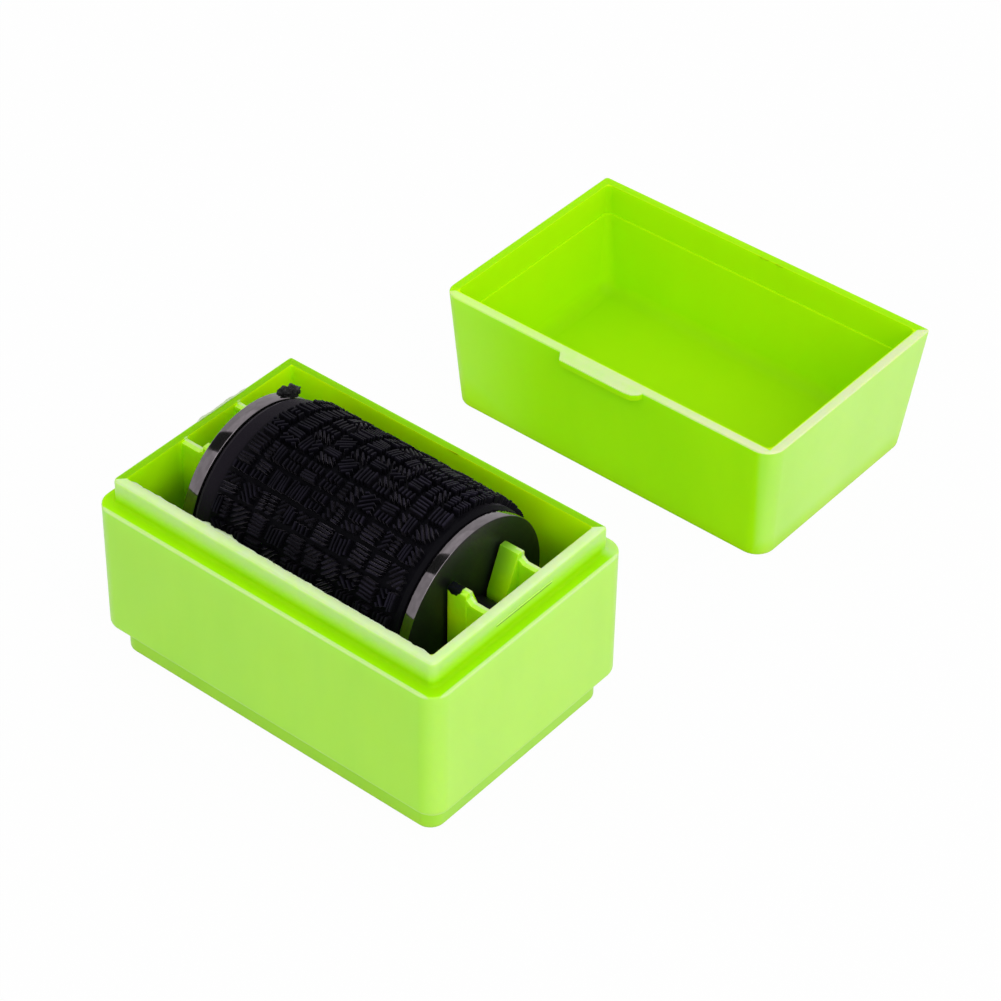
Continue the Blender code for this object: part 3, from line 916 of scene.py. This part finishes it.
def inked_felt():
    nodes = Nodes("inked_felt")
    fibres = nodes.grain(0.25, 6.0, (0.4, 1.0, 1.0))
    return nodes.finish({
        "Base Color": nodes.blend(fibres, FELT_DARK, FELT_LIGHT),
        "Normal": nodes.bump(fibres, 0.15),
        "Roughness": 0.9,
        "Sheen Weight": 0.3,
    })


def tube_plastic():
    nodes = Nodes("tube_black")
    turned = nodes.grain(0.6, 3.0, (0.05, 1.0, 1.0))
    return nodes.finish({
        "Base Color": nodes.blend(turned, TUBE_DARK, TUBE_LIGHT),
        "Roughness": nodes.ramp(turned, 0.3, 0.7, 0.35, 0.5),
    })


felt = to_piece("ink_felt", spin_profile(felt_points), inked_felt(), "roller", DISC_SHARP)
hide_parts("ink_pad")
tube = frame["nodes"]["core_tube"]
tube.data.materials.clear()
tube.data.materials.append(tube_plastic())

# %% [markdown]
# The sleeve is porous rubber: a spun ring with a slightly uneven surface. Its smooth left margin is
# painted a shade lighter, a painted sheen, and the tops of the print face get a painted highlight,
# more so towards the right.

# %% Sleeve
RELIEF_RISE = 1.1 * MM
SLEEVE_WALL = 2.65 * MM
LEFT_MARGIN = 2.9 * MM
RIGHT_MARGIN = 0.8 * MM
SLEEVE_RINGS = 60
SLEEVE_CHAMFER = 0.4 * MM
SWELL_SIZE = 1.6 * MM
SWELL = 0.1 * MM
RUBBER_BLACK = (0.0012, 0.0010, 0.0024, 1.0)
# Painted highlight colours: the stroke tops, and the smooth margin's sheen.
RUBBER_TOP_HIGHLIGHT = (0.012, 0.010, 0.019, 1.0)
RUBBER_MARGIN_SHEEN = (0.0075, 0.0058, 0.0095, 1.0)
RUBBER_SHEEN_TINT = (0.95, 0.85, 1.0, 1.0)

relief_radius = sleeve_high.z - AXIS_Z
sleeve_radius = relief_radius - RELIEF_RISE
start_x = sleeve_low.x + LEFT_MARGIN
sleeve_bore = sleeve_radius - SLEEVE_WALL


def rubber():
    """Matte black rubber, a painted sheen on its smooth margin, painted highlights on stroke tops."""
    nodes = Nodes("sleeve_rubber")
    x, y, z = nodes.axes()
    height = nodes.minus(z, AXIS_Z)
    squares = nodes.maths("MULTIPLY_ADD", y, y, nodes.maths("MULTIPLY", height, height))
    radius = nodes.maths("SQRT", squares)
    # Painted highlight on the stroke tops, in patches and stronger towards the right.
    wear_and_highlight = nodes.ramp(radius, relief_radius - 0.5 * RELIEF_RISE, relief_radius)
    towards_right = nodes.ramp(x, -0.3 * sleeve_high.x, sleeve_high.x, 0.5, 1.0)
    patches = nodes.ramp(nodes.grain(2.0, 4.0), 0.35, 0.65, 0.3, 1.0)
    colour = nodes.blend(nodes.all_of(wear_and_highlight, towards_right, patches), RUBBER_BLACK, RUBBER_TOP_HIGHLIGHT)
    # Painted sheen on the smooth left margin.
    smooth = nodes.all_of(nodes.fall(x, start_x, -0.5, 0.0), nodes.fall(radius, sleeve_radius, 0.05, 0.2))
    return nodes.finish({
        "Base Color": nodes.blend(smooth, colour, RUBBER_MARGIN_SHEEN),
        "Normal": nodes.bump(nodes.grain(0.18, 4.0), 0.05),
        "Roughness": 0.6,
        "Specular IOR Level": 0.06,
        "Sheen Weight": 0.1,
        "Sheen Roughness": 0.3,
        "Sheen Tint": RUBBER_SHEEN_TINT,
    })


def sleeve_body():
    ring_step = (sleeve_high.x - sleeve_low.x) / SLEEVE_RINGS
    outside = [(sleeve_low.x + ring * ring_step, sleeve_radius) for ring in range(SLEEVE_RINGS + 1)]
    outside[0] = (sleeve_low.x, sleeve_radius - SLEEVE_CHAMFER)
    outside[-1] = (sleeve_high.x, sleeve_radius - SLEEVE_CHAMFER)
    start = (sleeve_low.x, sleeve_bore)
    bm = spin_profile([start, *outside, (sleeve_high.x, sleeve_bore), start])
    for vert in bm.verts:
        out = Vector((0.0, vert.co.y, vert.co.z - AXIS_Z))
        if out.length > sleeve_bore + 0.5 * SLEEVE_WALL:
            lift = (noise.noise(vert.co / SWELL_SIZE) - 0.5) * SWELL
            vert.co += out.normalized() * lift
    return bm


sleeve_rubber = rubber()
sleeve = to_piece("sleeve_rubber", sleeve_body(), sleeve_rubber, "roller", DISC_SHARP)
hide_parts("stamp_sleeve")

# %% [markdown]
# The print face stands up from the sleeve as many short strokes. They are hatching and nothing
# else: every block of it is parted like parquet into a few cells, and each cell is filled with
# parallel strokes in a direction picked by chance from a fixed seed. One stroke is a small bar
# with a narrowed top, cut into pieces along its length, laid flat and then wrapped round the
# roller: its place across becomes an angle, its height a radius. Noise makes the strokes wobble.
# It needs the seed too, because Blender otherwise starts its vector noise from the clock.

# %% Strokes of the print face
BLOCK_COLUMNS = 10
BLOCK_ROWS = 28
BLOCK_GAP = 0.4 * MM
CELL_GAP = 0.26 * MM
STROKE_PITCH = 0.62 * MM
STROKE_FOOT = 0.44 * MM
STROKE_TOP_SHARES = (0.94, 0.55)
STROKE_SUNK = 0.25 * MM
STROKE_PARTS = 3
STROKE_SHORTEST = 0.5 * MM
CELL_LAYOUTS = ((1, 1), (1, 2), (2, 1))
HATCH_ANGLES = (0, 90, 0, 90, 45, 135)
HATCH_SEED = 7
HATCH_SWAY = 6
CUT_SHARES = (0.0, 0.25)
SHIFT_SHARES = (-0.5, 0.5)
RISE_SHARES = (0.82, 1.0)
WIDTH_SHARES = (0.85, 1.1)
WOBBLE_SIZE = 0.9 * MM
WOBBLE = 0.09 * MM
STROKE_SHARP = math.radians(50)

chance = random.Random(HATCH_SEED)
noise.seed_set(HATCH_SEED)


def wrap(point):
    """From the flat print face (x along, y round, z up) to its place on the roller."""
    radius = sleeve_radius + point.z
    angle = -point.y / relief_radius
    return Vector((point.x, radius * math.cos(angle), AXIS_Z + radius * math.sin(angle)))


def template_stroke():
    """A bar one unit long, wide and high, with a narrowed top."""
    bm = bmesh.new()
    block(bm, (-0.5, -0.5, 0.0), (0.5, 0.5, 1.0))
    along = [edge for edge in bm.edges if abs(edge.verts[0].co.x - edge.verts[1].co.x) > 0.5]
    bmesh.ops.subdivide_edges(bm, edges=along, cuts=STROKE_PARTS - 1)
    top = [vert for vert in bm.verts if vert.co.z > 0.5]
    bmesh.ops.scale(bm, vec=(*STROKE_TOP_SHARES, 1.0), verts=top)
    bmesh.ops.recalc_face_normals(bm, faces=bm.faces[:])
    mesh = bpy.data.meshes.new("one_stroke")
    bm.to_mesh(mesh)
    bm.free()
    return mesh


def hatch(low, high, angle):
    """Parallel strokes that fill the rectangle from low to high, as (middle, length, angle)."""
    centre = (low + high) / 2
    half = (high - low) / 2
    along = Vector((math.cos(angle), math.sin(angle)))
    across = Vector((-along.y, along.x))
    reach = abs(across.x) * half.x + abs(across.y) * half.y
    count = max(3, round(2 * reach / STROKE_PITCH))
    strokes = []
    for number in range(count):
        middle = across * ((2 * number + 1) / count - 1) * reach
        spans = [
            sorted(((-room - place) / way, (room - place) / way))
            for place, way, room in zip(middle, along, half) if abs(way) > 0.1
        ]
        start, end = max(span[0] for span in spans), min(span[1] for span in spans)
        if end - start > STROKE_SHORTEST:
            spare = chance.uniform(*CUT_SHARES) * (end - start)
            shift = chance.uniform(*SHIFT_SHARES) * spare
            slid = along * ((start + end) / 2 + shift)
            strokes.append((centre + middle + slid, end - start - spare, angle))
    return strokes


def block_strokes(half_x, half_y):
    """One block is parted like parquet into cells, and each cell is hatched its own way."""
    columns, rows = chance.choice(CELL_LAYOUTS)
    size = Vector((2 * half_x / columns, 2 * half_y / rows))
    inner = Vector((CELL_GAP / 2, CELL_GAP / 2))
    strokes = []
    for column in range(columns):
        for row in range(rows):
            low = Vector((column * size.x - half_x, row * size.y - half_y))
            angle = math.radians(chance.choice(HATCH_ANGLES) + chance.uniform(-HATCH_SWAY, HATCH_SWAY))
            strokes += hatch(low + inner, low + size - inner, angle)
    return strokes


def print_face():
    stroke_mesh = template_stroke()
    bm = bmesh.new()
    pitch_x = (sleeve_high.x - RIGHT_MARGIN - start_x) / BLOCK_COLUMNS
    pitch_y = 2 * math.pi * relief_radius / BLOCK_ROWS
    half_x = (pitch_x - BLOCK_GAP) / 2
    half_y = (pitch_y - BLOCK_GAP) / 2
    for column in range(BLOCK_COLUMNS):
        for row in range(BLOCK_ROWS):
            centre = Vector((start_x + (column + 0.5) * pitch_x, (row + 0.5) * pitch_y))
            for middle, length, angle in block_strokes(half_x, half_y):
                before = len(bm.verts)
                bm.from_mesh(stroke_mesh)
                bm.verts.ensure_lookup_table()
                rise = RELIEF_RISE * chance.uniform(*RISE_SHARES) + STROKE_SUNK
                size = Matrix.Diagonal((length, STROKE_FOOT * chance.uniform(*WIDTH_SHARES), rise, 1.0))
                place = Matrix.Translation((*(centre + middle), -STROKE_SUNK))
                turned = place @ Matrix.Rotation(angle, 4, "Z") @ size
                bmesh.ops.transform(bm, matrix=turned, verts=bm.verts[before:])
    print("vertices in strokes:", len(bm.verts))
    for vert in bm.verts:
        wobble = noise.noise_vector(vert.co / WOBBLE_SIZE) * WOBBLE
        vert.co = wrap(vert.co + Vector((wobble.x, wobble.y, 0.0)))
    return bm


to_piece("print_strokes", print_face(), sleeve_rubber, "roller", STROKE_SHARP)

# %% [markdown]
# A crumb of dried ink sticks to the left flange: a ball of which every point is moved by noise.
# Thin ribs of flash stand along some rims, where plastic crept between the halves of the mould. A
# rib is a row of triangles along a line, each of another width and height, joined one to the next.

# %% Crumb and flash
CRUMB_PLACE = Vector((-19.1, 7.2, AXIS_Z / MM + 12.5)) * MM
CRUMB_SIZE = Vector((1.35, 1.9, 1.2)) * MM
CRUMB_NOISE = ((1.6, 0.45), (5.0, 0.22), (14.0, 0.1))
CRUMB_DARK = (0.0015, 0.0015, 0.002, 1.0)
CRUMB_LIGHT = (0.03, 0.03, 0.033, 1.0)
FLASH_GREEN = (0.5, 0.66, 0.3, 1.0)
FLASH_PALE = (0.6, 0.72, 0.5, 1.0)
RIB_NOISE = ((0.23, 0.0, 0.5), (0.9, 5.0, 0.3))
TO_FAR, TO_NEAR, TO_LEFT = (0.0, 1.0, 0.0), (0.0, -1.0, 0.0), (-1.0, 0.0, 0.0)
RIB_STEP = 0.35 * MM
RIB_SUNK = 0.15 * MM


def crumb():
    bm = bmesh.new()
    bmesh.ops.create_icosphere(bm, subdivisions=5, radius=1.0)
    for vert in bm.verts:
        rough = sum(amount * noise.noise(vert.co * scale) for scale, amount in CRUMB_NOISE)
        vert.co = CRUMB_PLACE + vert.co * (0.85 + rough) * CRUMB_SIZE
        out = Vector((0.0, vert.co.y, vert.co.z - AXIS_Z))
        if out.length > relief_radius:
            vert.co -= out.normalized() * (out.length - relief_radius)
    return bm


def dried_ink():
    nodes = Nodes("dried_ink")
    specks = nodes.ramp(nodes.grain(0.3, 3.0), 0.6, 0.68)
    return nodes.finish({
        "Base Color": nodes.blend(specks, CRUMB_DARK, CRUMB_LIGHT),
        "Roughness": nodes.ramp(specks, 0.0, 1.0, 0.6, 0.2),
        "Normal": nodes.bump(nodes.grain(0.3, 4.0), 0.2),
        "Specular IOR Level": 0.25,
    })


def pale_plastic():
    nodes = Nodes("flash_plastic")
    colour = nodes.blend(nodes.grain(1.5, 2.0), FLASH_GREEN, FLASH_PALE)
    return nodes.finish({"Base Color": colour, "Roughness": 0.5})


def rib(bm, start, end, inward, widest, highest, seed):
    """One rib of flash from start to end, up to widest wide and up to highest high."""
    count = max(3, round((end - start).length / RIB_STEP))
    rows = []
    for step in range(count + 1):
        place = start.lerp(end, step / count)
        waves = (amount * noise.noise(Vector((step * pace, seed, z))) for pace, z, amount in RIB_NOISE)
        swell = max(0.15, sum(waves, 0.5)) * min(1.0, 0.2 + step / 3, 0.2 + (count - step) / 3)
        tip = place + inward * widest * swell + Vector((0.0, 0.0, highest * swell))
        under = place + inward * widest * 0.5 * swell - Vector((0.0, 0.0, RIB_SUNK))
        back = place - inward * RIB_SUNK - Vector((0.0, 0.0, 0.3 * RIB_SUNK))
        rows.append([bm.verts.new(point) for point in (tip, under, back)])
    for one, two in zip(rows, rows[1:]):
        for corner in range(3):
            following = (corner + 1) % 3
            bm.faces.new((one[corner], one[following], two[following], two[corner]))
    bm.faces.new(rows[0])
    bm.faces.new(reversed(rows[-1]))


def ribs(lines):
    """lines are (start, end, inward, widest, highest), in millimetres."""
    bm = bmesh.new()
    for seed, (start, end, inward, widest, highest) in enumerate(lines):
        ends = (Vector(start) * MM, Vector(end) * MM)
        rib(bm, *ends, Vector(inward), widest * MM, highest * MM, 3.7 * seed)
    bmesh.ops.recalc_face_normals(bm, faces=bm.faces[:])
    return bm


rim = RIM_Z / MM
well_x = end_wall_x / MM
well_y = (HALF_Y - well_inset) / MM
collar_x = (HALF_X - LEDGE) / MM
cap_rim = CAP_TOP / MM - 0.1
cap_far_y = (cap_high.y - CAP_WALL) / MM
case_flash = (
    ((-well_x + 1.0, -well_y, rim), (well_x - 0.5, -well_y, rim), TO_FAR, 0.22, 0.1),
    ((-13.6, -well_y, rim), (-6.6, -well_y, rim), TO_FAR, 0.75, 0.12),
    ((-collar_x + 0.3, -1.5, rim), (-collar_x + 0.3, 8.5, rim), TO_LEFT, 0.3, 0.15),
)
far_flash = (((2.0, well_y, rim), (3.7, well_y, rim), TO_NEAR, 0.2, 0.3),)
cap_flash = [
    ((start, cap_far_y, cap_rim), (end, cap_far_y, cap_rim), TO_NEAR, 0.25, 0.1)
    for start, end in ((0.4, 2.0), (3.4, 4.6))
]
flash_plastic = pale_plastic()
to_piece("ink_crumb", crumb(), dried_ink(), "roller")
to_piece("case_flash", ribs(case_flash), flash_plastic, "case")
to_piece("case_far_flash", ribs(far_flash), case_plastic, "case")
to_piece("cap_flash", ribs(cap_flash), cap_plastic, "cap")

# %% [markdown]
# The light is a plain white studio: a white floor and white all round, one large softbox from the
# right and one from above. A mirror-black roller shows its surroundings, so a dark card hangs
# over it between two white areas and gives the gloss on the flanges its dark gap. It is only
# there for reflections: it casts no shadow, and the camera doesn't see it.

# %% Floor, world and lights
scene.view_settings.view_transform = "Standard"
WHITE = (1.0, 1.0, 1.0, 1.0)
WORLD_FILL = 0.9
FLOOR_HALF = 3.0
FLOOR_DROP = 0.02 * MM
FLOOR_PAPER = (0.6, 0.6, 0.6, 1.0)
FLOOR_GLOW_SHARE = 0.975
MIRROR_GLOW_SHARE = 0.6
CARD_DISTANCE = 0.8
CARD_ANGLE = math.radians(105)
CARD_HALF_ANGLE = math.radians(13)
CARD_HALF_LENGTH = 1.5
CARD_BLACK = (0.01, 0.01, 0.01, 1.0)


def ray_share(nodes, camera_share, mirror_share):
    """camera_share for camera rays, mirror_share for rays from gloss or glass, 0 for the rest."""
    path = nodes.add("ShaderNodeLightPath").outputs
    mirrors = nodes.any_of(path["Is Glossy Ray"], path["Is Transmission Ray"])
    seen = nodes.all_of(path["Is Camera Ray"], camera_share)
    return nodes.any_of(seen, nodes.all_of(mirrors, mirror_share))


def sheet(name, place, material):
    """A flat square, placed and sized by the matrix."""
    bm = bmesh.new()
    bmesh.ops.create_grid(bm, x_segments=1, y_segments=1, size=1.0, matrix=place)
    thing = to_object(name, bm)
    thing.data.materials.append(material)
    return thing


sky = Nodes("white_studio", "worlds")
strength = sky.ramp(ray_share(sky, 1.0, 1.0), 0.0, 1.0, WORLD_FILL, 1.0)
scene.world = sky.finish({"Color": WHITE, "Strength": strength}, "Background")

ground = Nodes("white_floor")
ground.tree.nodes.remove(ground.tree.nodes["Principled BSDF"])
paper = ground.add("ShaderNodeBsdfDiffuse", {"Color": FLOOR_PAPER}).outputs["BSDF"]
glow = ground.add("ShaderNodeEmission").outputs["Emission"]
seen = ray_share(ground, FLOOR_GLOW_SHARE, MIRROR_GLOW_SHARE)
mixed = ground.add("ShaderNodeMixShader", {"Fac": seen, 1: paper, 2: glow}).outputs["Shader"]
floor_size = Matrix.Diagonal((FLOOR_HALF, FLOOR_HALF, 1.0, 1.0))
floor_place = Matrix.Translation((0.0, 0.0, -FLOOR_DROP)) @ floor_size
floor = sheet("studio_floor", floor_place, ground.finish({"Surface": mixed}, "Material Output"))

aim = Vector((0.0, CAP_Y / 2, RIM_Z / 2))


def softbox(name, direction, distance, side, level):
    """A square area light. level is how bright its surface is, where white paper is 1."""
    data = bpy.data.lights.new(name, "AREA")
    data.size = side
    data.energy = level * math.pi * side * side
    lamp = to_scene(name, data)
    towards = Vector(direction).normalized()
    lamp.location = aim + towards * distance
    lamp.rotation_euler = towards.to_track_quat("Z", "Y").to_euler()


softbox("right_softbox", (0.78, -0.32, 0.75), distance=0.9, side=0.7, level=2.0)
softbox("top_softbox", (0.0, 0.0, 1.0), distance=1.0, side=1.4, level=0.3)

card_size = Matrix.Diagonal((CARD_HALF_LENGTH, CARD_DISTANCE * math.tan(CARD_HALF_ANGLE), 1.0, 1.0))
card_place = Vector((0.0, math.cos(CARD_ANGLE), math.sin(CARD_ANGLE))) * CARD_DISTANCE
card_turn = Matrix.Rotation(CARD_ANGLE - math.pi / 2, 4, "X")
card_black = Nodes("dark_card").finish({"Base Color": CARD_BLACK})
card = sheet("dark_card", Matrix.Translation(card_place) @ card_turn @ card_size, card_black)
card.visible_camera = False
card.visible_diffuse = False
card.visible_shadow = False
card.visible_transmission = False
